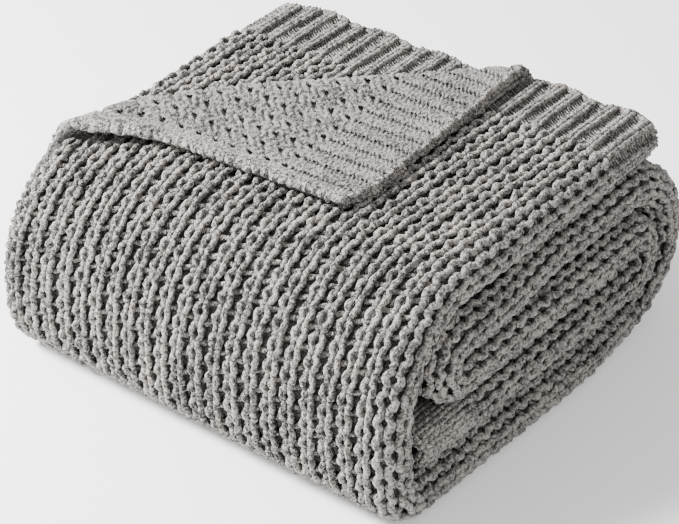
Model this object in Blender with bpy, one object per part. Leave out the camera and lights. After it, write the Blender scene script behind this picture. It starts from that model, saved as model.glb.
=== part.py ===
"""A chunky knit throw blanket, folded for a shelf.

The throw is one cloth. It is folded in thirds across its width, then along its length into five layers: over the
top, round a big front roll, back along the bottom, up round the back and into a loose zigzag inside. One corner of
the top hem is turned over and shows the reverse side. Metres, +Z up; X runs across the ribs, Y along them, and the
origin is under the middle of the folded throw.
"""

import math

import bmesh
import bpy
from mathutils import Vector

# The knit
RIB_PITCH = 0.0184
PLY_THICKNESS = 0.0108
PLY_PITCH = 0.0130
RIB_RELIEF = 0.0035
RIB_STAND = 0.0015
HEM_DEPTH = 0.070

# The fold in thirds, across the width
RIBS_IN_FLAP = 21
RIBS_IN_FIRST_FLAP = 20
FLAP_EDGE_PAST_FOLD = 0.006

# The section along the length, seen from the +X end: where it starts and which way it heads
HEM_Y = 0.190
HEM_Z = 0.1930
HEM_HEADING = 182.5
LAYER_HALF = PLY_PITCH + PLY_THICKNESS / 2

# The turned-over corner, as a crease across the top ply from its hem to its free selvage
CREASE_ON_HEM_X = 0.088
CREASE_ON_SELVAGE_V = 0.312
CURL_RADIUS_AT_HEM = 0.0070
CURL_RADIUS_AT_SELVAGE = 0.0115
CURL_STEPS = 7
CORNER_SETTLE = 0.055

# How far the ends of the layers stand out past the straight stack, and how far the hem wanders
RIGHT_SWELL = 0.013
LEFT_SWELL = 0.007
HEM_WAVE = 0.0030
HEM_WAVE_LENGTH = 0.066
HEM_WAVE_IN_TURNED_CORNER = 0.25
HEM_CORNER_CUT = 0.010
CORNER_SAG = 0.004
CREASE_DRAG = 0.017

# The middle of the folded stack, which is put over the origin
MIDDLE_X = 0.0063
MIDDLE_Y = 0.0270

YARN_GREY = (0.335, 0.318, 0.300, 1.0)


def clear_scene():
    for obj in list(bpy.data.objects):
        bpy.data.objects.remove(obj, do_unlink=True)


# Each row of a fold table is a straight run or a bend: its name, length, radius, turn in degrees (left is
# positive) and the number of steps that the mesh takes along it.


def straight(name, length, steps):
    return {"name": name, "length": length, "turn": 0.0, "steps": steps}


def bend(name, radius, turn, steps):
    return {"name": name, "length": radius * math.radians(abs(turn)), "turn": turn, "steps": steps}


def walk(rows, start, heading):
    """The fold's pieces, each with where it starts, which way it heads there and the distance walked before it."""
    pieces = []
    x, y = start
    walked = 0.0
    for row in rows:
        pieces.append(dict(row, start=(x, y), heading=heading, walked=walked))
        (x, y), heading = along(pieces[-1], row["length"])
        walked += row["length"]
    return pieces


def along(piece, distance):
    """The point and the heading at a distance along one piece."""
    x, y = piece["start"]
    heading = math.radians(piece["heading"])
    if piece["turn"] == 0:
        return (x + distance * math.cos(heading), y + distance * math.sin(heading)), piece["heading"]
    turn = math.radians(piece["turn"])
    radius = piece["length"] / turn
    ahead = heading + turn * distance / piece["length"]
    x += radius * (math.sin(ahead) - math.sin(heading))
    y -= radius * (math.cos(ahead) - math.cos(heading))
    return (x, y), math.degrees(ahead)


def place(pieces, walked):
    """The point, and the unit normal on the face side, at a distance along the whole fold."""
    piece = pieces[0]
    for candidate in pieces:
        if candidate["walked"] <= walked:
            piece = candidate
    point, heading = along(piece, walked - piece["walked"])
    heading = math.radians(heading)
    return Vector(point), Vector((math.sin(heading), -math.cos(heading)))


def length_of(pieces):
    return pieces[-1]["walked"] + pieces[-1]["length"]


def stations(pieces):
    """The distances at which the mesh has a line across the fold."""
    found = [0.0]
    for piece in pieces:
        for step in range(piece["steps"]):
            found.append(piece["walked"] + piece["length"] * (step + 1) / piece["steps"])
    return found


def span(pieces, name):
    """Where the named pieces of a fold start and end."""
    named = [piece for piece in pieces if piece["name"] == name]
    return named[0]["walked"], named[-1]["walked"] + named[-1]["length"]


def thirds():
    """The fold across the width: (x, height over the middle ply)."""
    run = RIBS_IN_FLAP * RIB_PITCH
    right = run / 2
    rows = (
        straight("first flap", RIBS_IN_FIRST_FLAP * RIB_PITCH, 5),
        bend("left fold", PLY_PITCH / 2, 180, 4),
        straight("back", run, 4),
        bend("right fold", PLY_PITCH, 180, 8),
        straight("top flap", run, 2 * RIBS_IN_FLAP),
        straight("flap edge", FLAP_EDGE_PAST_FOLD, 1),
    )
    first_edge = right - (RIBS_IN_FLAP - RIBS_IN_FIRST_FLAP) * RIB_PITCH
    return walk(rows, (first_edge, 0.0), 180.0)


def section():
    """The fold along the length: (y, z) of the middle ply, from the hem on top to the hem inside."""
    over_roll = (
        straight("hem", HEM_DEPTH, 1),
        straight("top", 0.197, 2),
        bend("front roll", 0.103, 83, 5),
        bend("front roll", 0.250, 10, 1),
    )
    shoulder = walk(over_roll, (HEM_Y, HEM_Z), HEM_HEADING)
    (_, height), heading = along(shoulder[-1], shoulder[-1]["length"])
    # The last bend of the roll brings the layer down to lie flat on what the throw stands on.
    toe_radius = (height - LAYER_HALF) / (1 - math.cos(math.radians(heading)))
    rows = over_roll + (
        bend("front roll", toe_radius, 360 - heading, 3),
        straight("bottom", 0.310, 1),
        bend("back roll", 0.0665, 90, 4),
        bend("back roll", 0.0640, 92.3, 4),
        straight("second layer", 0.252, 2),
        bend("inner front fold", 0.0203, 180, 6),
        straight("third layer", 0.244, 2),
        bend("inner back fold", 0.0215, -180.8, 6),
        straight("fourth layer", 0.232, 2),
        straight("inner hem", HEM_DEPTH, 1),
    )
    return walk(rows, (HEM_Y, HEM_Z), HEM_HEADING)


def smooth_step(value):
    value = min(max(value, 0.0), 1.0)
    return value * value * (3 - 2 * value)


class FoldedThrow:
    """Where a point of the flat cloth goes: u across the width, v along the length, w through the knit."""

    def __init__(self):
        self.across = thirds()
        self.down = section()
        self.width = length_of(self.across)
        self.length = length_of(self.down)
        self.flap_start = span(self.across, "top flap")[0]
        self.fold_start = span(self.across, "right fold")[0]
        self.roll_start, self.roll_end = span(self.down, "front roll")
        self.back_start, self.back_end = span(self.down, "back roll")
        self.left_x = place(self.across, self.width)[0][0]
        self.set_crease()

    def set_crease(self):
        """The line that the corner is turned over, in the top ply's own plane of x and v."""
        on_hem = Vector((CREASE_ON_HEM_X, 0.0))
        on_selvage = Vector((self.left_x, CREASE_ON_SELVAGE_V))
        self.crease_start = on_hem
        self.crease_length = (on_selvage - on_hem).length
        self.crease_along = (on_selvage - on_hem) / self.crease_length
        self.crease_out = Vector((-self.crease_along[1], self.crease_along[0]))
        if self.crease_out[0] > 0:
            self.crease_out.negate()

    def past_crease(self, x, v):
        return (Vector((x, v)) - self.crease_start).dot(self.crease_out)

    def curl_radius(self, x, v):
        share = (Vector((x, v)) - self.crease_start).dot(self.crease_along) / self.crease_length
        return CURL_RADIUS_AT_HEM + (CURL_RADIUS_AT_SELVAGE - CURL_RADIUS_AT_HEM) * smooth_step(share)

    def rib_height(self, u, v):
        """How far the face stands over the plain ply: ridges where they show, level where the throw rests."""
        if u >= self.fold_start:
            ridge = 0.5 - 0.5 * math.cos(2 * math.pi * (u - self.flap_start) / RIB_PITCH)
            shows = self.shows_outside(u, v)
        elif v < self.roll_start and u < RIBS_IN_FIRST_FLAP * RIB_PITCH:
            ridge = 0.5 - 0.5 * math.cos(2 * math.pi * u / RIB_PITCH)
            shows = 1.0
        else:
            return 0.0
        return shows * (RIB_STAND - RIB_RELIEF * (1 - ridge))

    def shows_outside(self, u, v):
        on_top = 1.0 if v < self.roll_end - 0.02 else 0.0
        on_back = 1.0 if self.back_start + 0.02 < v < self.back_end else 0.0
        inside = 1.0 if v > self.back_end and u < self.flap_start else 0.0
        if u >= self.flap_start + RIB_PITCH and self.past_crease(*self.flap_point(u, v)) > 0:
            return 0.0
        return max(on_top, on_back, inside)

    def flap_point(self, u, v):
        return place(self.across, u)[0][0], v

    def fold(self, u, v, face):
        """The place of a cloth point, on the face side where face is true and on the reverse where it isn't."""
        (x, height), (normal_x, normal_up) = place(self.across, u)
        through = PLY_THICKNESS / 2 + self.rib_height(u, v) if face else -PLY_THICKNESS / 2
        v += self.hem_wander(u, x, v)
        past = self.past_crease(x, v)
        if u > self.flap_start and v < CREASE_ON_SELVAGE_V and past > 0:
            x, v, height = self.turn_over(x, v, past, height, through)
        else:
            x += normal_x * through
            height += normal_up * through
        if u > self.flap_start:
            v += self.crease_drag(x, v)
        point, normal = place(self.down, v)
        y, z = point + normal * height
        z -= self.corner_sag(x, y, z)
        return Vector((x + self.end_swell(x, v) - MIDDLE_X, y - MIDDLE_Y, z))

    def turn_over(self, x, v, past, height, through):
        """Rolls the corner round the crease and lays it back on the top ply, reverse side up."""
        radius = self.curl_radius(x, v)
        foot = Vector((x, v)) - self.crease_out * past
        angle = min(past / radius, math.pi)
        out = (radius - through) * math.sin(angle) - max(past - math.pi * radius, 0.0)
        rise = radius - (radius - through) * math.cos(angle)
        if angle == math.pi:
            laid = smooth_step((past - math.pi * radius) / CORNER_SETTLE)
            rise -= laid * (2 * radius - PLY_PITCH)
        x, v = foot + self.crease_out * out
        return x, v, height + rise

    def hem_wander(self, u, x, v):
        """The hem is a little wavy, and the cloth is drawn back at its left corners."""
        near_end = 1 - smooth_step(min(v, self.length - v) / HEM_DEPTH)
        corner = smooth_step((-x - 0.17) / 0.035)
        height = HEM_WAVE
        if u > self.flap_start and v < HEM_DEPTH:
            height *= 1 - (1 - HEM_WAVE_IN_TURNED_CORNER) * smooth_step((CREASE_ON_HEM_X - x) / 0.03)
        wave = height * math.sin(2 * math.pi * x / HEM_WAVE_LENGTH) + HEM_CORNER_CUT * corner
        return near_end * (wave if v < self.length / 2 else -wave)

    def crease_drag(self, x, v):
        """How far the left end of the turned corner's crease slips down the front roll."""
        at_crease = smooth_step((v - 0.16) / 0.12) * (1 - smooth_step((v - 0.32) / 0.12))
        return CREASE_DRAG * smooth_step((-x - 0.09) / 0.10) * at_crease

    def corner_sag(self, x, y, z):
        """How far the stack's soft left front corner sinks."""
        from_hem = smooth_step((0.10 - y) / 0.12) * smooth_step((y + 0.16) / 0.04)
        return CORNER_SAG * smooth_step((-x - 0.08) / 0.10) * from_hem * smooth_step((z - 0.07) / 0.11)

    def end_swell(self, x, v):
        """The ends of the lower layers stand out past the top one, most of all at the front."""
        low = 1 - smooth_step((v - self.back_start + 0.10) / 0.15)
        right_low = low * smooth_step((v - self.roll_start) / 0.20)
        left_low = low * smooth_step((v - 0.30) / 0.16)
        inner = smooth_step((v - self.back_end - 0.10) / 0.12)
        right = smooth_step((x + 0.02) / 0.20)
        left = smooth_step((-0.10 - x) / 0.08)
        return RIGHT_SWELL * right * (right_low + 0.7 * inner) - LEFT_SWELL * left * left_low


def flat_cloth(throw):
    """The cloth before folding, as a grid in (u, v) with its lines where the folds and the ribs need them."""
    columns = stations(throw.across)
    rows = stations(throw.down)
    bm = bmesh.new()
    bmesh.ops.create_grid(bm, x_segments=len(columns) - 1, y_segments=len(rows) - 1, size=0.5)
    for vert in bm.verts:
        column = round((vert.co.x + 0.5) * (len(columns) - 1))
        row = round((vert.co.y + 0.5) * (len(rows) - 1))
        vert.co = (columns[column], rows[row], 0.0)
    return bm


def add_ribs_under_corner(bm, throw):
    """Where the turned corner bares the first flap, its wide columns are split into ribs."""
    bare_to = throw.roll_start
    flap = RIBS_IN_FIRST_FLAP * RIB_PITCH
    ribs = RIBS_IN_FIRST_FLAP // 5
    edges = [
        edge
        for edge in bm.edges
        if abs(edge.verts[0].co.y - edge.verts[1].co.y) < 1e-6
        and max(vert.co.y for vert in edge.verts) < bare_to + 1e-6
        and max(vert.co.x for vert in edge.verts) < flap + 1e-6
    ]
    bmesh.ops.subdivide_edges(bm, edges=edges, cuts=2 * ribs - 1, use_grid_fill=True)


def cut_curl_lines(bm, throw):
    """Lines along the crease, on the corner only, so that it can roll over."""
    widest = math.pi * CURL_RADIUS_AT_SELVAGE
    u_of_x = throw.flap_start + RIBS_IN_FLAP * RIB_PITCH / 2
    for step in range(CURL_STEPS + 1):
        corner = [
            face
            for face in bm.faces
            if face.calc_center_median().x > throw.flap_start and face.calc_center_median().y < throw.roll_end
        ]
        geom = set(corner)
        for face in corner:
            geom.update(face.edges)
            geom.update(face.verts)
        on_line = throw.crease_start + throw.crease_out * (widest * step / CURL_STEPS)
        bmesh.ops.bisect_plane(
            bm,
            geom=list(geom),
            dist=1e-6,
            plane_co=(u_of_x - on_line[0], on_line[1], 0.0),
            plane_no=(-throw.crease_out[0], throw.crease_out[1], 0.0),
        )


def fold_cloth(name, throw):
    bm = flat_cloth(throw)
    add_ribs_under_corner(bm, throw)
    cut_curl_lines(bm, throw)
    bmesh.ops.solidify(bm, geom=bm.faces[:], thickness=PLY_THICKNESS)
    middle = sum(vert.co.z for vert in bm.verts) / len(bm.verts)
    for vert in bm.verts:
        u, v, w = vert.co
        vert.co = throw.fold(u, v, w > middle)
    bmesh.ops.recalc_face_normals(bm, faces=bm.faces[:])
    mesh = bpy.data.meshes.new(name)
    bm.to_mesh(mesh)
    bm.free()
    return mesh


def yarn_material():
    material = bpy.data.materials.new("grey chenille yarn")
    material.use_nodes = True
    shader = material.node_tree.nodes["Principled BSDF"]
    shader.inputs["Base Color"].default_value = YARN_GREY
    shader.inputs["Roughness"].default_value = 0.95
    shader.inputs["Metallic"].default_value = 0.0
    return material


def build():
    clear_scene()
    collection = bpy.data.collections.new("knit throw blanket")
    bpy.context.scene.collection.children.link(collection)
    throw = FoldedThrow()
    mesh = fold_cloth("throw", throw)
    mesh.materials.append(yarn_material())
    collection.objects.link(bpy.data.objects.new("throw", mesh))


build()
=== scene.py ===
import math

import bpy
import numpy as np
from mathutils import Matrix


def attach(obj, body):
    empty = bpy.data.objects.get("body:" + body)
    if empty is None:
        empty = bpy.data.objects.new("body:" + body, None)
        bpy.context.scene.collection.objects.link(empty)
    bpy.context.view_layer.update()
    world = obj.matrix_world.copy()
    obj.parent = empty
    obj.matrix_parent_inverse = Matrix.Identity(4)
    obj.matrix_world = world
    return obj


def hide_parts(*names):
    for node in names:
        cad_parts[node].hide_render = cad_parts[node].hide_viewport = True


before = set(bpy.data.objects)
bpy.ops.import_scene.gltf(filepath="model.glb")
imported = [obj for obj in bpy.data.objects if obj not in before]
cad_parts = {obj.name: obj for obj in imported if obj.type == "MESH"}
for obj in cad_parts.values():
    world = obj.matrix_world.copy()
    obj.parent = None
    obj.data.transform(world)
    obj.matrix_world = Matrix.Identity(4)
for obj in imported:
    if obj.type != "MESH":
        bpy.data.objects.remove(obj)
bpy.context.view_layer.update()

# The cloth
# One cloth of chunky rib knit, folded in thirds across its width and then over and over along its length,
# with one corner of its top hem turned over. This piece is the ground of the knit, on which all the other
# yarn stands; its yarn is painted dark, as painted shade in the valleys and holes between the ribs.
# u runs across the ribs, v along them and w out through the face.
RIB_PITCH = 0.0184
PLY_HALF = 0.0054
PLY_PITCH = 0.0130
HEM_DEPTH = 0.070
RIBS_IN_FLAP = 21
RIBS_IN_FIRST_FLAP = 20
FLAP_EDGE_PAST_FOLD = 0.006
HEM_START = (0.190, 0.1930)
HEM_HEADING = 182.5
LAYER_HALF = PLY_PITCH + PLY_HALF
CREASE_ON_HEM_X = 0.088
CREASE_ON_SELVAGE_V = 0.312
CURL_RADII = (0.0070, 0.0115)
CORNER_SETTLE = 0.055
RIGHT_SWELL = 0.013
INNER_SWELL_SHARE = 0.7
LEFT_SWELL = 0.007
CORNER_SAG = 0.004
CREASE_DRAG = 0.017
HEM_WAVE = 0.0030
HEM_WAVE_LENGTH = 0.066
HEM_CALM = 0.75
HEM_CORNER_CUT = 0.010
MIDDLE = (0.0063, 0.0270)


def run(name, length):
    return name, length, 0.0


def bend(name, radius, turn):
    return name, radius * math.radians(abs(turn)), math.radians(turn)


class Fold:
    """A fold seen end on: named straight runs and bends, walked one after the other from a start."""

    LEAST_STRETCH = 0.25

    def __init__(self, rows, start, heading):
        x, y = start
        heading = math.radians(heading)
        walked = 0.0
        table = []
        self.starts = {}
        for name, length, turn in rows:
            curve = turn / length
            table.append((walked, x, y, heading, curve))
            self.starts.setdefault(name, walked)
            walked += length
            if turn:
                x += (math.sin(heading + turn) - math.sin(heading)) / curve
                y -= (math.cos(heading + turn) - math.cos(heading)) / curve
            else:
                x += length * math.cos(heading)
                y += length * math.sin(heading)
            heading += turn
        self.table = np.array(table)
        self.length = walked
        self.end_heading = heading

    def row(self, walked):
        return self.table[np.clip(np.searchsorted(self.table[:, 0], walked, "right") - 1, 0, None)]

    def at(self, walked, height):
        """The points at distances along the fold and heights over it."""
        start, x, y, heading, curve = np.moveaxis(self.row(walked), -1, 0)
        ahead = heading + curve * (walked - start)
        curved = np.where(curve == 0, 1.0, curve)
        bent_x = x + (np.sin(ahead) - np.sin(heading)) / curved
        bent_y = y - (np.cos(ahead) - np.cos(heading)) / curved
        x = np.where(curve == 0, x + (walked - start) * np.cos(heading), bent_x)
        y = np.where(curve == 0, y + (walked - start) * np.sin(heading), bent_y)
        return x + height * np.sin(ahead), y - height * np.cos(ahead)

    def outer_length(self, height, step=0.0005, margin=0.02):
        """The distances walked, and how long the fold is up to each when measured at that height."""
        walked = np.arange(-margin, self.length + margin, step)
        stretch = np.maximum(1 + self.row(walked)[:, 4] * height, self.LEAST_STRETCH)
        return walked, np.concatenate([[0.0], np.cumsum(stretch[:-1] * step)]) - margin


across = Fold(
    (
        run("first flap", RIBS_IN_FIRST_FLAP * RIB_PITCH),
        bend("left fold", PLY_PITCH / 2, 180),
        run("back", RIBS_IN_FLAP * RIB_PITCH),
        bend("right fold", PLY_PITCH, 180),
        run("top flap", RIBS_IN_FLAP * RIB_PITCH),
        run("flap edge", FLAP_EDGE_PAST_FOLD),
    ),
    ((RIBS_IN_FLAP / 2 - (RIBS_IN_FLAP - RIBS_IN_FIRST_FLAP)) * RIB_PITCH, 0.0),
    180.0,
)
over_roll = (
    run("hem", HEM_DEPTH),
    run("top", 0.197),
    bend("front roll", 0.103, 83),
    bend("front roll", 0.250, 10),
)
shoulder = Fold(over_roll, HEM_START, HEM_HEADING)
shoulder_height = float(shoulder.at(shoulder.length, 0.0)[1])
toe_radius = (shoulder_height - LAYER_HALF) / (1 - math.cos(shoulder.end_heading))
down = Fold(
    over_roll
    + (
        bend("front roll", toe_radius, 360 - math.degrees(shoulder.end_heading)),
        run("bottom", 0.310),
        bend("back roll", 0.0665, 90),
        bend("back roll", 0.0640, 92.3),
        run("second layer", 0.252),
        bend("inner front fold", 0.0203, 180),
        run("third layer", 0.244),
        bend("inner back fold", 0.0215, -180.8),
        run("fourth layer", 0.232),
        run("inner hem", HEM_DEPTH),
    ),
    HEM_START,
    HEM_HEADING,
)
FOLD_START = across.starts["right fold"]
FLAP_START = across.starts["top flap"]
ROLL_START, ROLL_END = down.starts["front roll"], down.starts["bottom"]
BACK_START, BACK_END = down.starts["back roll"], down.starts["second layer"]
LEFT_X = float(across.at(across.length, 0.0)[0])
crease_run = np.array([LEFT_X - CREASE_ON_HEM_X, CREASE_ON_SELVAGE_V])
crease_length = np.linalg.norm(crease_run)
crease_run /= crease_length
crease_out = np.array([-crease_run[1], crease_run[0]])

# Each pair says where a form starts and over what length it grows to the full.
CORNER_CUT_X = (0.17, 0.035)
HEM_CALM_X = (0.0, 0.03)
SWELL_ENDS_V = (-0.10, 0.15)
INNER_SWELL_V = (0.10, 0.12)
RIGHT_SWELL_V = (ROLL_START, 0.20)
LEFT_SWELL_V = (0.30, 0.16)
RIGHT_SWELL_X = (-0.02, 0.20)
LEFT_SWELL_X = (0.10, 0.08)
DRAG_STARTS_V = (0.16, 0.12)
DRAG_ENDS_V = (0.32, 0.12)
DRAG_X = (0.09, 0.10)
SAG_FROM_HEM_Y = (-0.10, 0.12)
SAG_FROM_ROLL_Y = (-0.16, 0.04)
SAG_X = (0.08, 0.10)
SAG_Z = (0.07, 0.11)


def ramp(value, start, length):
    """0 up to the start, then a smooth rise to 1 over the length."""
    share = np.clip((value - start) / length, 0.0, 1.0)
    return share * share * (3 - 2 * share)


def past_crease(x, v):
    """How far a point of the top ply lies past the line that the corner is turned over."""
    return (x - CREASE_ON_HEM_X) * crease_out[0] + v * crease_out[1]


def curl_radius(x, v):
    share = ((x - CREASE_ON_HEM_X) * crease_run[0] + v * crease_run[1]) / crease_length
    return CURL_RADII[0] + (CURL_RADII[1] - CURL_RADII[0]) * ramp(share, 0.0, 1.0)


def hem_wander(u, x, v):
    """How far the hem wanders along the ribs, less on the turned corner, which lies smooth."""
    near_end = 1 - ramp(np.minimum(v, down.length - v), 0.0, HEM_DEPTH)
    calm = 1 - HEM_CALM * (u > FLAP_START) * (v < HEM_DEPTH) * ramp(CREASE_ON_HEM_X - x, *HEM_CALM_X)
    wave = HEM_WAVE * calm * np.sin(2 * math.pi * x / HEM_WAVE_LENGTH)
    wave = wave + HEM_CORNER_CUT * ramp(-x, *CORNER_CUT_X)
    return near_end * np.where(v < down.length / 2, wave, -wave)


def end_swell(x, v):
    """How far the ends of the layers stand out past the straight stack."""
    low = 1 - ramp(v - BACK_START, *SWELL_ENDS_V)
    inner = ramp(v - BACK_END, *INNER_SWELL_V)
    right_layers = low * ramp(v, *RIGHT_SWELL_V) + INNER_SWELL_SHARE * inner
    left_layers = low * ramp(v, *LEFT_SWELL_V)
    to_right = RIGHT_SWELL * ramp(x, *RIGHT_SWELL_X) * right_layers
    return to_right - LEFT_SWELL * ramp(-x, *LEFT_SWELL_X) * left_layers


def crease_drag(x, v):
    """How far the left end of the turned corner's crease slips down the front roll."""
    at_crease = ramp(v, *DRAG_STARTS_V) * (1 - ramp(v, *DRAG_ENDS_V))
    return CREASE_DRAG * ramp(-x, *DRAG_X) * at_crease


def corner_sag(x, y, z):
    """How far the stack's soft left front corner sinks."""
    from_hem = ramp(-y, *SAG_FROM_HEM_Y) * ramp(y, *SAG_FROM_ROLL_Y)
    return CORNER_SAG * ramp(-x, *SAG_X) * from_hem * ramp(z, *SAG_Z)


def fold(u, v, w):
    """Where points of the flat cloth lie once it is folded."""
    u, v, w = np.broadcast_arrays(u, v, w)
    middle_x, middle_height = across.at(u, 0.0)
    x, height = across.at(u, w)
    v = v + hem_wander(u, middle_x, v)
    past = past_crease(middle_x, v)
    radius = curl_radius(middle_x, v)
    angle = np.clip(past / radius, 0.0, math.pi)
    flat_part = np.maximum(past - math.pi * radius, 0.0)
    out = (radius - w) * np.sin(angle) - flat_part - past
    settle = ramp(flat_part, 0.0, CORNER_SETTLE) * (2 * radius - PLY_PITCH)
    rise = radius - (radius - w) * np.cos(angle) - settle
    turned = (u > FLAP_START) & (v < CREASE_ON_SELVAGE_V) & (past > 0)
    x = np.where(turned, middle_x + crease_out[0] * out, x)
    v = np.where(turned, v + crease_out[1] * out, v)
    height = np.where(turned, middle_height + rise, height)
    v = v + crease_drag(x, v) * (u > FLAP_START)
    y, z = down.at(v, height)
    z = np.maximum(z - corner_sag(x, y, z), 0.0)
    return np.stack([x + end_swell(x, v) - MIDDLE[0], y - MIDDLE[1], z], axis=-1)


def spaced(*spans):
    """Distances over several spans, each given as its start, its end and its step."""
    parts = [np.linspace(start, end, max(round((end - start) / step), 1) + 1) for start, end, step in spans]
    return np.unique(np.concatenate(parts).round(7))


def grid_faces(columns, rows, first=0):
    """The quads of a grid of points kept row by row."""
    corner = first + np.arange(rows - 1)[:, None] * columns + np.arange(columns - 1)
    return np.stack([corner, corner + 1, corner + columns + 1, corner + columns], axis=-1).reshape(-1, 4)


def yarn(name, dark, light, bump):
    """Chenille yarn: short pile that takes light softly, in a grey that shifts a little along it. Its colour
    also darkens where the pile's bump dips, as painted shade between the tufts.
    """
    material = bpy.data.materials.new(name)
    material.use_nodes = True
    nodes = material.node_tree.nodes
    links = material.node_tree.links
    shader = nodes["Principled BSDF"]
    shader.inputs["Roughness"].default_value = 0.95
    shader.inputs["Specular IOR Level"].default_value = 0.15
    shader.inputs["Sheen Weight"].default_value = 0.25
    shader.inputs["Sheen Roughness"].default_value = 0.6
    place = nodes.new("ShaderNodeTexCoord")
    pile = nodes.new("ShaderNodeTexNoise")
    pile.inputs["Scale"].default_value = 330.0
    pile.inputs["Detail"].default_value = 2.0
    pile.inputs["Roughness"].default_value = 0.6
    shade = nodes.new("ShaderNodeTexNoise")
    shade.inputs["Scale"].default_value = 38.0
    shade.inputs["Detail"].default_value = 2.0
    # The pile noise that bumps the yarn also darkens its colour in the dips, which is painted shade; the
    # slower noise is a shift in the yarn's own tone.
    pile_shade_and_tone = nodes.new("ShaderNodeMath")
    pile_shade_and_tone.operation = "MULTIPLY_ADD"
    pile_shade_and_tone.inputs[1].default_value = 0.35
    colour = nodes.new("ShaderNodeValToRGB")
    colour.color_ramp.elements[0].position = 0.56
    colour.color_ramp.elements[0].color = dark + (1.0,)
    colour.color_ramp.elements[1].position = 0.75
    colour.color_ramp.elements[1].color = light + (1.0,)
    relief = nodes.new("ShaderNodeBump")
    relief.inputs["Strength"].default_value = bump
    relief.inputs["Distance"].default_value = 0.0130
    links.new(place.outputs["Object"], pile.inputs["Vector"])
    links.new(place.outputs["Object"], shade.inputs["Vector"])
    links.new(shade.outputs["Fac"], pile_shade_and_tone.inputs[0])
    links.new(pile.outputs["Fac"], pile_shade_and_tone.inputs[2])
    links.new(pile_shade_and_tone.outputs[0], colour.inputs["Fac"])
    links.new(colour.outputs["Color"], shader.inputs["Base Color"])
    links.new(pile.outputs["Fac"], relief.inputs["Height"])
    links.new(relief.outputs["Normal"], shader.inputs["Normal"])
    return material


def make_piece(name, points, faces, material):
    mesh = bpy.data.meshes.new(name)
    mesh.from_pydata(points.reshape(-1, 3).tolist(), [], faces)
    mesh.shade_smooth()
    mesh.materials.append(material)
    piece = bpy.data.objects.new(name, mesh)
    bpy.context.scene.collection.objects.link(piece)
    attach(piece, "root")
    return piece


# The mesh has close lines where the cloth bends or shows between ribs, and wide ones where it is hidden.
TURNED_TO_V = 0.345
SIDE_FOLD_STEP = 0.0034
TOP_STEP = 0.0046
ROLL_STEP = 0.010
BOTTOM_STEP = 0.03
BACK_STEP = 0.008
INNER_STEP = 0.02
INNER_FOLD_STEP = 0.005
columns = spaced(
    (0, FOLD_START, RIB_PITCH),
    (across.starts["left fold"], across.starts["back"], SIDE_FOLD_STEP),
    (FOLD_START, FLAP_START, SIDE_FOLD_STEP),
    (FLAP_START, across.length, TOP_STEP),
)
rows = spaced(
    (0, TURNED_TO_V, TOP_STEP),
    (TURNED_TO_V, ROLL_END, ROLL_STEP),
    (ROLL_END, BACK_START, BOTTOM_STEP),
    (BACK_START, BACK_END, BACK_STEP),
    (BACK_END, down.starts["inner front fold"], INNER_STEP),
    (down.starts["inner front fold"], down.starts["third layer"], INNER_FOLD_STEP),
    (down.starts["third layer"], down.starts["inner back fold"], INNER_STEP),
    (down.starts["inner back fold"], down.starts["fourth layer"], INNER_FOLD_STEP),
    (down.starts["fourth layer"], down.length, INNER_STEP),
)
# The ground is level with the ribs where the throw rests, deep under them elsewhere, and thin in the
# turned corner.
GROUND_UNDER_RIBS = -0.0026
GROUND_IN_CORNER = (0.0030, -0.0015)
REST_STARTS_V = (0.50, 0.02)
REST_ENDS_V = (0.80, 0.02)
REST_U = (-0.008, 0.006)
CORNER_PAST_CREASE = (-0.012, 0.008)
CORNER_END_V = 0.4
u, v = np.meshgrid(columns, rows)
resting = ramp(v, *REST_STARTS_V) * (1 - ramp(v, *REST_ENDS_V)) * ramp(u - FLAP_START, *REST_U)
face_w = GROUND_UNDER_RIBS + (PLY_HALF - GROUND_UNDER_RIBS) * resting
in_corner = ramp(past_crease(across.at(u, 0.0)[0], v), *CORNER_PAST_CREASE)
in_corner = in_corner * (u > FLAP_START) * (v < CORNER_END_V)
face_points = fold(u, v, face_w + (GROUND_IN_CORNER[0] - face_w) * in_corner)
back_points = fold(u, v, -PLY_HALF + (GROUND_IN_CORNER[1] + PLY_HALF) * in_corner)
count = u.size
grid = np.arange(count).reshape(u.shape)
rim = np.concatenate([grid[0, :-1], grid[:-1, -1], grid[-1, :0:-1], grid[:0:-1, 0]])
rim_next = np.roll(rim, -1)
faces = np.concatenate(
    [
        grid_faces(len(columns), len(rows)),
        grid_faces(len(columns), len(rows), count)[:, ::-1],
        np.stack([rim_next, rim, rim + count, rim_next + count], axis=-1),
    ]
)
# The ground is the same chenille coloured very dark: painted shade for the valleys between the ribs and the
# holes through the knit.
ground_painted_shade_yarn = yarn("ground_painted_shade_yarn", dark=(0.032, 0.030, 0.028), light=(0.135, 0.127, 0.119), bump=1.0)
cloth = make_piece(
    "knitted_cloth",
    np.concatenate([face_points.reshape(-1, 3), back_points.reshape(-1, 3)]),
    faces.tolist(),
    ground_painted_shade_yarn,
)
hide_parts("throw")

# The ribs
# Each rib is a chain of chenille yarn knitted into the cloth: two legs bow out round a hole, close up over a
# short pair of legs, and start again. They ride on a core, and beside each link a lump of yarn crosses into
# the valley. Each part of the throw that shows has its ribs as one piece, and the cores are one more.
LINK_LENGTH = 0.0178
FIRST_LINK = 0.006
LAST_LINK_ROOM = 0.004
LINK_STAGGER = 0.0014
STAGGER_TURN = 700
STITCH_OUT = 0.004
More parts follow.
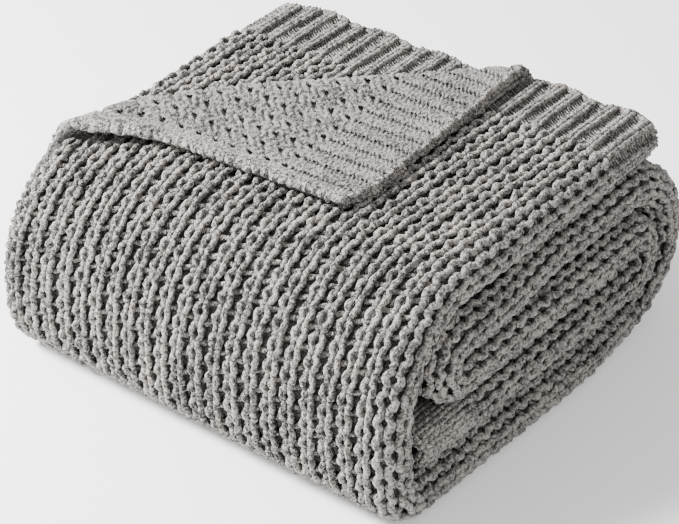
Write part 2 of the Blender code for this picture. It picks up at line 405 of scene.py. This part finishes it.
# Along the rib from the middle of the hole, off its centre line, out from the cloth, and the radius, in mm
LONG_LEG = (
    (-6.3, 1.2, 3.1, 2.2),
    (-5.0, 2.6, 4.4, 2.75),
    (-3.2, 3.9, 5.1, 2.7),
    (-1.1, 4.7, 5.5, 2.6),
    (1.1, 4.7, 5.5, 2.6),
    (3.1, 3.8, 5.0, 2.65),
    (4.8, 2.6, 4.1, 2.6),
    (6.0, 1.2, 2.9, 2.2),
)
SHORT_LEG = (
    (5.2, 1.5, 3.2, 2.0),
    (6.9, 2.5, 4.4, 2.5),
    (9.0, 2.8, 4.8, 2.6),
    (11.0, 2.3, 4.2, 2.45),
    (12.6, 1.4, 2.9, 2.0),
)
CROSSING = (
    (10.4, -2.6, 1.2, 2.2),
    (9.4, -5.0, 0.7, 2.6),
    (8.2, -7.5, -0.1, 2.5),
    (6.8, -9.9, -0.8, 2.3),
    (5.4, -12.2, -1.4, 2.0),
)
MM = 0.001
CORE_OUT = -0.0016
CORE_RADIUS = 0.0030
CORE_STEP = 0.008
CORE_PAST_LINKS = (0.009, 0.012)
CORE_BREAK = 1.5
# How uneven the yarn is
WANDER = 0.0007
WANDER_LENGTH = 0.019
WANDER_TURN = 900
LUMPS = 0.19
LEG_SHIFT = 0.00038
LEG_LIFT = 0.00018
LEG_BEND = 0.00024
LEG_THICKNESS = 0.075
CORE_SHIFT = 0.0005
CORE_THICKNESS = 0.08
LOOSE_ON_FACE = 0.7
LOOSE_AT_END = 0.45
# How far the links open where the knit is stretched
SPREAD_ON_FOLD = 1.25
SPREAD_ON_TOP = 1.16

width_walked, width_outer = across.outer_length(STITCH_OUT)
rng = np.random.default_rng(11)


def column_map(u0):
    """The lengths along one column of stitches, on the cloth's middle and on the column's outer side."""
    height = float(across.at(np.array(u0), STITCH_OUT)[1])
    return down.outer_length(height)


def on_column(u0, local):
    """Cloth points for (across, along, out) measured on the column's own outer side."""
    walked, outer = column_map(u0)
    v = np.interp(local[..., 1], outer, walked)
    wander = WANDER * np.sin(local[..., 1] / WANDER_LENGTH + WANDER_TURN * u0)
    middle = np.interp(u0, width_walked, width_outer)
    u = np.interp(middle + local[..., 0] + wander, width_outer, width_walked)
    return np.stack([u, v, local[..., 2]], axis=-1)


def folded(points):
    """Points of the flat cloth, (..., uvw), once it is folded."""
    return fold(*np.moveaxis(points, -1, 0))


def tube_rings(centres, radii, sides, loose=1.0):
    """Rings of points round rows of centres, (tube, ring, side, xyz)."""
    ahead = np.gradient(centres, axis=1)
    ahead /= np.linalg.norm(ahead, axis=-1, keepdims=True)
    side = np.cross(ahead, (0.0, 0.0, 1.0))
    side /= np.linalg.norm(side, axis=-1, keepdims=True)
    up = np.cross(side, ahead)
    turn = np.linspace(0, 2 * math.pi, sides, endpoint=False)
    spoke = np.cos(turn)[:, None] * side[:, :, None] + np.sin(turn)[:, None] * up[:, :, None]
    lumps = 1 + rng.normal(0, LUMPS * loose, radii.shape + (sides, 1))
    return centres[:, :, None] + radii[:, :, None, None] * spoke * lumps


def tube_faces(tubes, rings, sides, first=0):
    """The quads along each tube and the two faces that close its ends."""
    base = first + np.arange(tubes)[:, None, None] * rings * sides
    ring = np.arange(rings - 1)[:, None] * sides
    side = np.arange(sides)
    after = (side + 1) % sides
    quads = np.stack(
        [base + ring + side, base + ring + sides + side, base + ring + sides + after, base + ring + after],
        axis=-1,
    )
    start = base[:, 0, 0][:, None] + side
    end = start + (rings - 1) * sides
    return quads.reshape(-1, 4).tolist() + start.tolist() + end[:, ::-1].tolist()


class YarnPile:
    """Yarn tubes gathered into one piece."""

    def __init__(self):
        self.points = []
        self.faces = []
        self.count = 0

    def add(self, points):
        tubes, rings, sides = points.shape[:3]
        self.faces += tube_faces(tubes, rings, sides, self.count)
        self.points.append(points.reshape(-1, 3))
        self.count += tubes * rings * sides

    def piece(self, name, material):
        return make_piece(name, np.concatenate(self.points), self.faces, material)


def link_rows(u0, first_v, last_v):
    """The middles of a column's links, as lengths on its own outer side, and their v."""
    walked, outer = column_map(u0)
    start, end = np.interp([HEM_DEPTH, down.length - HEM_DEPTH], walked, outer)
    stagger = LINK_STAGGER * math.sin(STAGGER_TURN * u0)
    along = np.arange(start + FIRST_LINK + stagger, end - LAST_LINK_ROOM, LINK_LENGTH)
    v = np.interp(along, outer, walked)
    keep = (v >= first_v) & (v < last_v)
    return along[keep], v[keep]


def add_legs(pile, u0, along, table, sign, sides, spread=1.0, loose=1.0):
    """One strand of yarn beside each length along a column, shaped by a table and mirrored by the sign."""
    table = np.array(table) * MM * (1.0, spread, 1.0, math.sqrt(spread))
    centres = np.empty((len(along), len(table), 3))
    shift = rng.normal(0, LEG_SHIFT * loose, (len(along), 2))
    centres[..., 0] = sign * table[:, 1] + shift[:, :1]
    centres[..., 1] = along[:, None] + table[:, 0] + shift[:, 1:]
    centres[..., 2] = table[:, 2] + rng.normal(0, LEG_LIFT, (len(along), 1))
    centres += rng.normal(0, LEG_BEND * loose, centres.shape)
    radii = table[:, 3] * (1 + rng.normal(0, LEG_THICKNESS, (len(along), len(table))))
    pile.add(folded(on_column(u0, tube_rings(centres, radii, sides, loose))))


def add_core(pile, u0, along):
    """The yarn inside a rib, which its chain of legs rides on."""
    at = np.arange(along[0] - CORE_PAST_LINKS[0], along[-1] + CORE_PAST_LINKS[1], CORE_STEP)
    centres = np.zeros((1, len(at), 3))
    centres[..., 0] = rng.normal(0, CORE_SHIFT, len(at))
    centres[..., 1] = at
    centres[..., 2] = CORE_OUT
    radii = CORE_RADIUS * (1 + rng.normal(0, CORE_THICKNESS, (1, len(at))))
    pile.add(folded(on_column(u0, tube_rings(centres, radii, 5))))


def add_links(pile, u0, along, sides=7, spread=1.0, loose=1.0):
    """The links of one rib, each with its crossing, and the rib's core under every unbroken stretch."""
    if not len(along):
        return
    for sign in (-1, 1):
        add_legs(pile, u0, along, LONG_LEG, sign, sides, spread, loose)
        add_legs(pile, u0, along, SHORT_LEG, sign, sides, spread, loose)
    add_legs(pile, u0, along, CROSSING, 1, sides - 1, 1.0, loose)
    breaks = np.flatnonzero(np.diff(along) > CORE_BREAK * LINK_LENGTH) + 1
    for stretch in np.split(along, breaks):
        add_core(core_pile, u0, stretch)


def rib_past_crease(u0, v):
    return past_crease(float(across.at(np.array(u0), 0.0)[0]), v)


TOP_TO_V = ROLL_START + 0.03
FRONT_TO_V = ROLL_END + 0.01
BACK_FROM_V, BACK_TO_V = BACK_START - 0.03, BACK_END + 0.02
UNDER_CORNER_TO_V = 0.34
TOP_RIBS_PAST_CREASE = 0.010
UNDER_RIBS_PAST_CREASE = -0.035
RIBS_ROUND_FOLD = 3
RIBS_BESIDE_FOLD = 2

flap_ribs = [FLAP_START + (k + 0.5) * RIB_PITCH for k in range(RIBS_IN_FLAP)]
fold_width = FLAP_START - FOLD_START
fold_ribs = [FLAP_START - (k + 0.5) * fold_width / RIBS_ROUND_FOLD for k in range(RIBS_ROUND_FOLD)]
under_ribs = [FOLD_START - (k + 0.5) * RIB_PITCH for k in range(RIBS_BESIDE_FOLD)]
first_ribs = [(k + 0.5) * RIB_PITCH for k in range(RIBS_IN_FIRST_FLAP)]
left_ribs = [(RIBS_IN_FIRST_FLAP + k + 0.5) * RIB_PITCH for k in range(RIBS_BESIDE_FOLD)]
core_pile, top_pile, front_pile, back_pile, right_pile, left_pile = (YarnPile() for _ in range(6))
for u0 in flap_ribs:
    along, v = link_rows(u0, 0.0, TOP_TO_V)
    along = along[rib_past_crease(u0, v) < TOP_RIBS_PAST_CREASE]
    add_links(top_pile, u0, along, spread=SPREAD_ON_TOP, loose=LOOSE_ON_FACE)
    add_links(front_pile, u0, link_rows(u0, TOP_TO_V, FRONT_TO_V)[0], loose=LOOSE_ON_FACE)
    add_links(back_pile, u0, link_rows(u0, BACK_FROM_V, BACK_TO_V)[0], sides=5)
for u0 in first_ribs:
    along, v = link_rows(u0, 0.0, UNDER_CORNER_TO_V)
    along = along[rib_past_crease(u0, v) > UNDER_RIBS_PAST_CREASE]
    add_links(top_pile, u0, along, spread=SPREAD_ON_TOP, loose=LOOSE_ON_FACE)
for u0 in fold_ribs + under_ribs[:1]:
    along = link_rows(u0, 0.0, down.length)[0]
    add_links(right_pile, u0, along, spread=SPREAD_ON_FOLD, loose=LOOSE_AT_END)
for u0 in flap_ribs[:1] + under_ribs[1:]:
    along = link_rows(u0, BACK_TO_V, down.length)[0]
    add_links(right_pile, u0, along, sides=6, loose=LOOSE_AT_END)
for u0 in left_ribs:
    add_links(left_pile, u0, link_rows(u0, 0.0, down.length)[0], sides=5)

face_yarn = yarn("face_yarn", dark=(0.047, 0.043, 0.040), light=(0.495, 0.452, 0.416), bump=1.0)
# The right end, turned from the key lamp, gets a darker copy of the face yarn with less contrast in its
# pile: painted shade.
end_painted_shade_yarn = yarn("end_painted_shade_yarn", dark=(0.070, 0.064, 0.059), light=(0.395, 0.363, 0.335), bump=0.85)
rib_pieces = [
    # The cores take the ground's dark yarn: painted shade inside the holes of the links.
    core_pile.piece("rib_cores", ground_painted_shade_yarn),
    top_pile.piece("top_ribs", face_yarn),
    front_pile.piece("front_roll_ribs", face_yarn),
    back_pile.piece("back_ribs", face_yarn),
    right_pile.piece("right_end_ribs", end_painted_shade_yarn),
    left_pile.piece("left_end_ribs", face_yarn),
]

# The hems
# The cloth ends in a band of tighter knit in the same yarn. Each rib runs on in it as a close pair of cords,
# with fine stitches that dip across the valley to the next pair. In the hem inside the stack, more cords
# fill the valley instead.
HEM_CORD_SPACING = 0.0021
HEM_CORD_RADIUS = 0.0022
HEM_CORD_OUT = 0.0046
HEM_CORD_SINK = 0.0012
HEM_SINK_LENGTH = 0.012
HEM_CORD_STEP = 0.0015
HEM_END_ROOM = 0.001
OUTER_HEM_CORDS = (-1, 1)
INNER_HEM_CORDS = (-1, 1, 3.2, 5.4)
HEM_STITCH = 0.0032
HEM_TICK = 0.10
TICK_SIDEWAYS = 0.6
FIRST_STITCH = 0.003
LOOSE_IN_HEM = 0.35
HIDDEN_FIRST_RIBS = 4
# Along the rib, across from the pair's middle, out from the cloth and the yarn's radius, in mm
VALLEY_STITCH = (
    (0.7, 3.8, 3.4, 0.95),
    (0.4, 5.6, 2.1, 1.0),
    (0.1, 8.0, 1.0, 1.05),
    (-0.3, 11.2, 1.1, 1.05),
    (-0.7, 14.4, 3.0, 0.95),
)


def add_hem(pile, u0, inner):
    """The cords in which one rib ends, with the stitches beside them on the outer hem."""
    walked, outer = column_map(u0)
    start = float(np.interp(down.length - HEM_DEPTH if inner else 0.0, walked, outer))
    at = np.arange(start + HEM_CORD_STEP, start + HEM_DEPTH - HEM_END_ROOM, HEM_CORD_STEP)
    ticks = HEM_TICK * np.sin(2 * math.pi * (at - start) / HEM_STITCH)
    sink = HEM_CORD_SINK * ramp(at - start - HEM_DEPTH, -HEM_SINK_LENGTH, HEM_SINK_LENGTH) * (not inner)
    for side in INNER_HEM_CORDS if inner else OUTER_HEM_CORDS:
        centres = np.zeros((1, len(at), 3))
        centres[..., 0] = side * HEM_CORD_SPACING * (1 + TICK_SIDEWAYS * ticks)
        centres[..., 1] = at
        centres[..., 2] = HEM_CORD_OUT - sink
        pile.add(folded(on_column(u0, tube_rings(centres, HEM_CORD_RADIUS * (1 + ticks)[None], 7))))
    if not inner:
        along = np.arange(start + FIRST_STITCH, start + HEM_DEPTH - HEM_END_ROOM, HEM_STITCH)
        add_legs(pile, u0, along, VALLEY_STITCH, 1, 5, loose=LOOSE_IN_HEM)


hem_pile = YarnPile()
for u0 in flap_ribs + fold_ribs + left_ribs + first_ribs[HIDDEN_FIRST_RIBS:]:
    add_hem(hem_pile, u0, False)
for u0 in flap_ribs[:2] + fold_ribs + under_ribs:
    add_hem(hem_pile, u0, True)
# The hem's yarn is coloured darker than the face yarn though it is the same yarn: painted shade in the
# tighter knit.
hem_painted_shade_yarn = yarn("hem_painted_shade_yarn", dark=(0.050, 0.046, 0.042), light=(0.360, 0.331, 0.305), bump=0.8)
hems = hem_pile.piece("hem_stitches", hem_painted_shade_yarn)

# The edges
# The same yarn binds off each hem with small loops on both sides of the cloth. The free selvage is a cord
# of the yarn, with two small loops for each link of a rib.
EDGE_STEP = 0.0012
EDGE_LOOP = 0.0040
EDGE_INSET = 0.0012
EDGE_LOOP_OUT = 0.0008
EDGE_RADIUS = 0.0023
EDGE_SCALLOP = 0.0010
# Out from the cloth, and the shift of the loops as a share of their length, on the face and on the reverse
EDGE_ROWS = ((0.0022, 0.0), (-0.0024, 0.5))
INNER_EDGE_SHOWS = (FOLD_START - 0.03, FLAP_START + 0.04)
SELVAGE_STEP = 0.0018
SELVAGE_LOOP = 0.0089
SELVAGE_INSET = 0.0030
SELVAGE_LOOP_OUT = 0.0022
SELVAGE_RADII = (0.0031, 0.0013)
SELVAGE_WANDER = 0.0003


def add_edge(pile, centres, radii):
    pile.add(folded(tube_rings(centres[None], radii[None], 6)))


edge_pile = YarnPile()
at = np.arange(0.0, across.length, EDGE_STEP)
scallop = EDGE_SCALLOP * np.cos(2 * math.pi * (at - FLAP_START - RIB_PITCH / 2) / RIB_PITCH)
near = (at > INNER_EDGE_SHOWS[0]) & (at < INNER_EDGE_SHOWS[1])
for out, shift in EDGE_ROWS:
    loops = np.abs(np.sin(math.pi * (at / EDGE_LOOP + shift)))
    radii = EDGE_RADIUS + EDGE_LOOP_OUT * loops
    inset = EDGE_INSET - EDGE_LOOP_OUT * loops - scallop
    add_edge(edge_pile, np.stack([at, inset, np.full_like(at, out)], axis=-1), radii)
    inner_edge = np.stack([at, down.length - inset, np.full_like(at, out)], axis=-1)
    add_edge(edge_pile, inner_edge[near], radii[near])
at = np.arange(0.0, down.length, SELVAGE_STEP)
loops = np.abs(np.sin(math.pi * at / SELVAGE_LOOP))
beside = across.length - SELVAGE_INSET + SELVAGE_LOOP_OUT * loops
selvage = np.stack([beside, at, np.full_like(at, -SELVAGE_LOOP_OUT)], axis=-1)
selvage += rng.normal(0, SELVAGE_WANDER, selvage.shape)
add_edge(edge_pile, selvage, SELVAGE_RADII[0] + SELVAGE_RADII[1] * loops)
edges = edge_pile.piece("edge_loops", face_yarn)

# The reverse side of the turned corner
# The same knit seen from behind is nearly flat. It has holes where the face has its links, small dimples
# between them and low nubs of yarn all over. In the hem it has a groove with close ticks where the face
# has a pair of cords.
REVERSE_STEP = 0.00120
REVERSE_MARGIN = 0.0015
REVERSE_FROM_V = 0.002
HOLE_DEPTH = 0.0042
HOLE_SIZE = (0.0050, 0.0074)
HOLE_SLANT = 1.5
DIMPLE_DEPTH = 0.0014
DIMPLE_SIZE = (0.0022, 0.0016)
DIMPLE_SLANT = -0.5
NUB_HEIGHT = 0.0042
NUB_LEVEL = 0.3
NUB_SIZE = (0.0019, 0.0044)
NUB_SLANT = 0.3
NUB_WAVER_U = 0.0007
NUB_WAVER_U_LENGTHS = (0.0037, 0.011)
NUB_WAVER_V = 0.0009
NUB_WAVER_V_LENGTHS = (0.0043, 0.013)
GROOVE_WIDTH = 0.0032
GROOVE_DEPTH = 0.0012
TICK_DEPTH = 0.0036
TICK_LENGTH = 0.0040
TICK_SLANT = 0.45
FINE_HEIGHT = 0.0008
FINE_LENGTH = 0.0042
FINE_SLANT = 0.5
FINE_IN_BORDER = 0.00025
REVERSE_LUMPS = 0.00022
SELVAGE_SINK = 0.0030
HEM_EDGE_SINK = 0.0006
REVERSE_HEM_ENDS_V = (-0.004, 0.008)
BORDER_U = (-0.016, 0.006)
SELVAGE_SINK_U = (-0.006, 0.005)
HEM_EDGE_SINK_V = (-0.005, 0.003)
OPEN_HOLE = 0.62
DIMPLE_OPENS = 0.8
OPEN_TICK = 0.50
REVERSE_PAST_CREASE = -0.016


def nearest(value, pitch):
    """How far a value lies from the nearest line of a grid."""
    return (value / pitch - np.round(value / pitch)) * pitch


def dips(u, v, u_pitch, v_pitch, size, slant):
    """A grid of round dips, 1 at the middle of each."""
    a, b = nearest(u, u_pitch), nearest(v, v_pitch)
    a, b = a + slant * b, b - slant * a
    return np.exp(-((a / size[0]) ** 2) - (b / size[1]) ** 2)


reverse_u = np.arange(FLAP_START, across.length - REVERSE_MARGIN, REVERSE_STEP)
reverse_v = np.arange(REVERSE_FROM_V, TURNED_TO_V, REVERSE_STEP)
u, v = np.meshgrid(reverse_u, reverse_v)
rib_u = u - FLAP_START - RIB_PITCH / 2
link_v = v - HEM_DEPTH - FIRST_LINK
rib_side = nearest(rib_u, RIB_PITCH)
holes = dips(rib_u, link_v, RIB_PITCH, LINK_LENGTH, HOLE_SIZE, HOLE_SLANT)
between_u, between_v = rib_u - RIB_PITCH / 2, link_v - LINK_LENGTH / 2
dimples = dips(between_u, between_v, RIB_PITCH, LINK_LENGTH, DIMPLE_SIZE, DIMPLE_SLANT)

# The nubs stand in two grids, each half a pitch from the other, and waver so that their rows aren't ruled.
nub_slant = NUB_SLANT * np.sign(np.sin(2 * math.pi * rib_u / RIB_PITCH))
nub_u = rib_u + NUB_WAVER_U * np.sin(v / NUB_WAVER_U_LENGTHS[0] + u / NUB_WAVER_U_LENGTHS[1])
nub_v = link_v + NUB_WAVER_V * np.sin(u / NUB_WAVER_V_LENGTHS[0] - v / NUB_WAVER_V_LENGTHS[1])
nub_grid = (RIB_PITCH / 2, LINK_LENGTH / 2, NUB_SIZE, nub_slant)
nubs = dips(nub_u - RIB_PITCH / 4, nub_v, *nub_grid) + dips(nub_u, nub_v - LINK_LENGTH / 4, *nub_grid)
body = NUB_HEIGHT * (NUB_LEVEL - np.clip(1 - nubs, 0, 1) ** 2) - HOLE_DEPTH * holes - DIMPLE_DEPTH * dimples

groove = np.exp(-((rib_side / GROOVE_WIDTH) ** 2))
ticks = 0.5 + 0.5 * np.cos(2 * math.pi * (v + TICK_SLANT * rib_side) / TICK_LENGTH)
fine = np.cos(2 * math.pi * (v + FINE_SLANT * np.abs(rib_side)) / FINE_LENGTH)
hem = -GROOVE_DEPTH * groove - TICK_DEPTH * groove * ticks + FINE_HEIGHT * fine * (1 - groove)
in_hem = 1 - ramp(v - HEM_DEPTH, *REVERSE_HEM_ENDS_V)
border = ramp(u - across.length, *BORDER_U)
relief = body * (1 - in_hem) * (1 - border) + hem * in_hem * (1 - border) + FINE_IN_BORDER * fine * border
relief += rng.normal(0, REVERSE_LUMPS, u.shape)
selvage_sink = SELVAGE_SINK * ramp(u - across.length, *SELVAGE_SINK_U)
relief -= selvage_sink + HEM_EDGE_SINK * ramp(-v, *HEM_EDGE_SINK_V)

# The deepest places are left open to the ground behind them, whose dark yarn is painted shade.
open_body = np.maximum(holes, DIMPLE_OPENS * dimples) * (1 - in_hem) > OPEN_HOLE
open_tick = groove * ticks * in_hem > OPEN_TICK
open_hole = (open_body | open_tick) & (border < 0.5)
past = past_crease(across.at(u, 0.0)[0], v)
corner_points = fold(u, v, -PLY_HALF - relief)
corner_faces = grid_faces(len(reverse_u), len(reverse_v))
turned = (past.ravel()[corner_faces] > REVERSE_PAST_CREASE).all(axis=1)
closed = open_hole.ravel()[corner_faces].sum(axis=1) < 2
used, corner_faces = np.unique(corner_faces[turned & closed], return_inverse=True)
# The reverse is coloured much darker than the face though it is the same yarn: painted shade over the whole
# turned corner.
reverse_painted_shade_yarn = yarn("reverse_painted_shade_yarn", dark=(0.042, 0.039, 0.036), light=(0.255, 0.234, 0.216), bump=0.6)
corner_side = make_piece(
    "turned_corner_reverse",
    corner_points.reshape(-1, 3)[used],
    corner_faces.reshape(-1, 4)[:, ::-1].tolist(),
    reverse_painted_shade_yarn,
)

# Floor, light and camera
# A pale floor under a pale sky, with a strong soft lamp high on the left and a larger weak one on the right.
# The floor also glows faintly, which is painted light that lifts the shadow the throw casts on it.
# The camera stands where the photograph was taken from.
FLOOR_SIZE = 14
FLOOR_Z = -0.0003
FLOOR_WHITE = (0.93, 0.93, 0.93, 1)
# Painted light: the floor glows faintly to lift the throw's shadow on it.
FLOOR_GLOW = 0.25
SKY_WHITE = (1.0, 1.0, 1.0, 1)
SKY_STRENGTH = 0.76
bpy.ops.mesh.primitive_plane_add(size=FLOOR_SIZE, location=(0, 0, FLOOR_Z))
floor = bpy.context.object
floor.name = "floor"
floor_paint = bpy.data.materials.new("floor_paint")
floor_paint.use_nodes = True
floor_shader = floor_paint.node_tree.nodes["Principled BSDF"]
floor_shader.inputs["Base Color"].default_value = FLOOR_WHITE
floor_shader.inputs["Roughness"].default_value = 0.9
floor_shader.inputs["Emission Color"].default_value = SKY_WHITE
floor_shader.inputs["Emission Strength"].default_value = FLOOR_GLOW
floor.data.materials.append(floor_paint)

world = bpy.data.worlds.new("studio")
bpy.context.scene.world = world
world.use_nodes = True
sky = world.node_tree.nodes["Background"]
sky.inputs["Color"].default_value = SKY_WHITE
sky.inputs["Strength"].default_value = SKY_STRENGTH


def stand(holder, azimuth, elevation, distance, target=(0.0, 0.0, 0.0)):
    """Put a lamp or the camera at a distance from its target and turn it to look there."""
    a, e = math.radians(azimuth), math.radians(elevation)
    back = np.array([math.sin(a) * math.cos(e), -math.cos(a) * math.cos(e), math.sin(e)])
    holder.location = np.array(target) + back * distance
    holder.rotation_euler = (math.pi / 2 - e, 0, a)
    bpy.context.scene.collection.objects.link(holder)


def soft_lamp(name, size, power):
    lamp = bpy.data.lights.new(name, "AREA")
    lamp.size = size
    lamp.energy = power
    return bpy.data.objects.new(name, lamp)


key = soft_lamp("key", size=0.7, power=270)
stand(key, azimuth=-52, elevation=42, distance=2.4)
fill = soft_lamp("fill", size=1.6, power=12)
stand(fill, azimuth=95, elevation=35, distance=2.4)

CAMERA_AZIMUTH = 39.23
CAMERA_ELEVATION = 33.04
CAMERA_DISTANCE = 2.073
CAMERA_TARGET = (0.00243, -0.01988, 0.07794)
SENSOR_WIDTH = 36
FOCAL_PIXELS = 2369
PICTURE_PIXELS = 679
camera = bpy.data.objects.new("camera", bpy.data.cameras.new("camera"))
camera.data.sensor_width = SENSOR_WIDTH
camera.data.lens = FOCAL_PIXELS * SENSOR_WIDTH / PICTURE_PIXELS
camera.data.clip_start = 0.05
stand(camera, CAMERA_AZIMUTH, CAMERA_ELEVATION, CAMERA_DISTANCE, CAMERA_TARGET)
bpy.context.scene.camera = camera
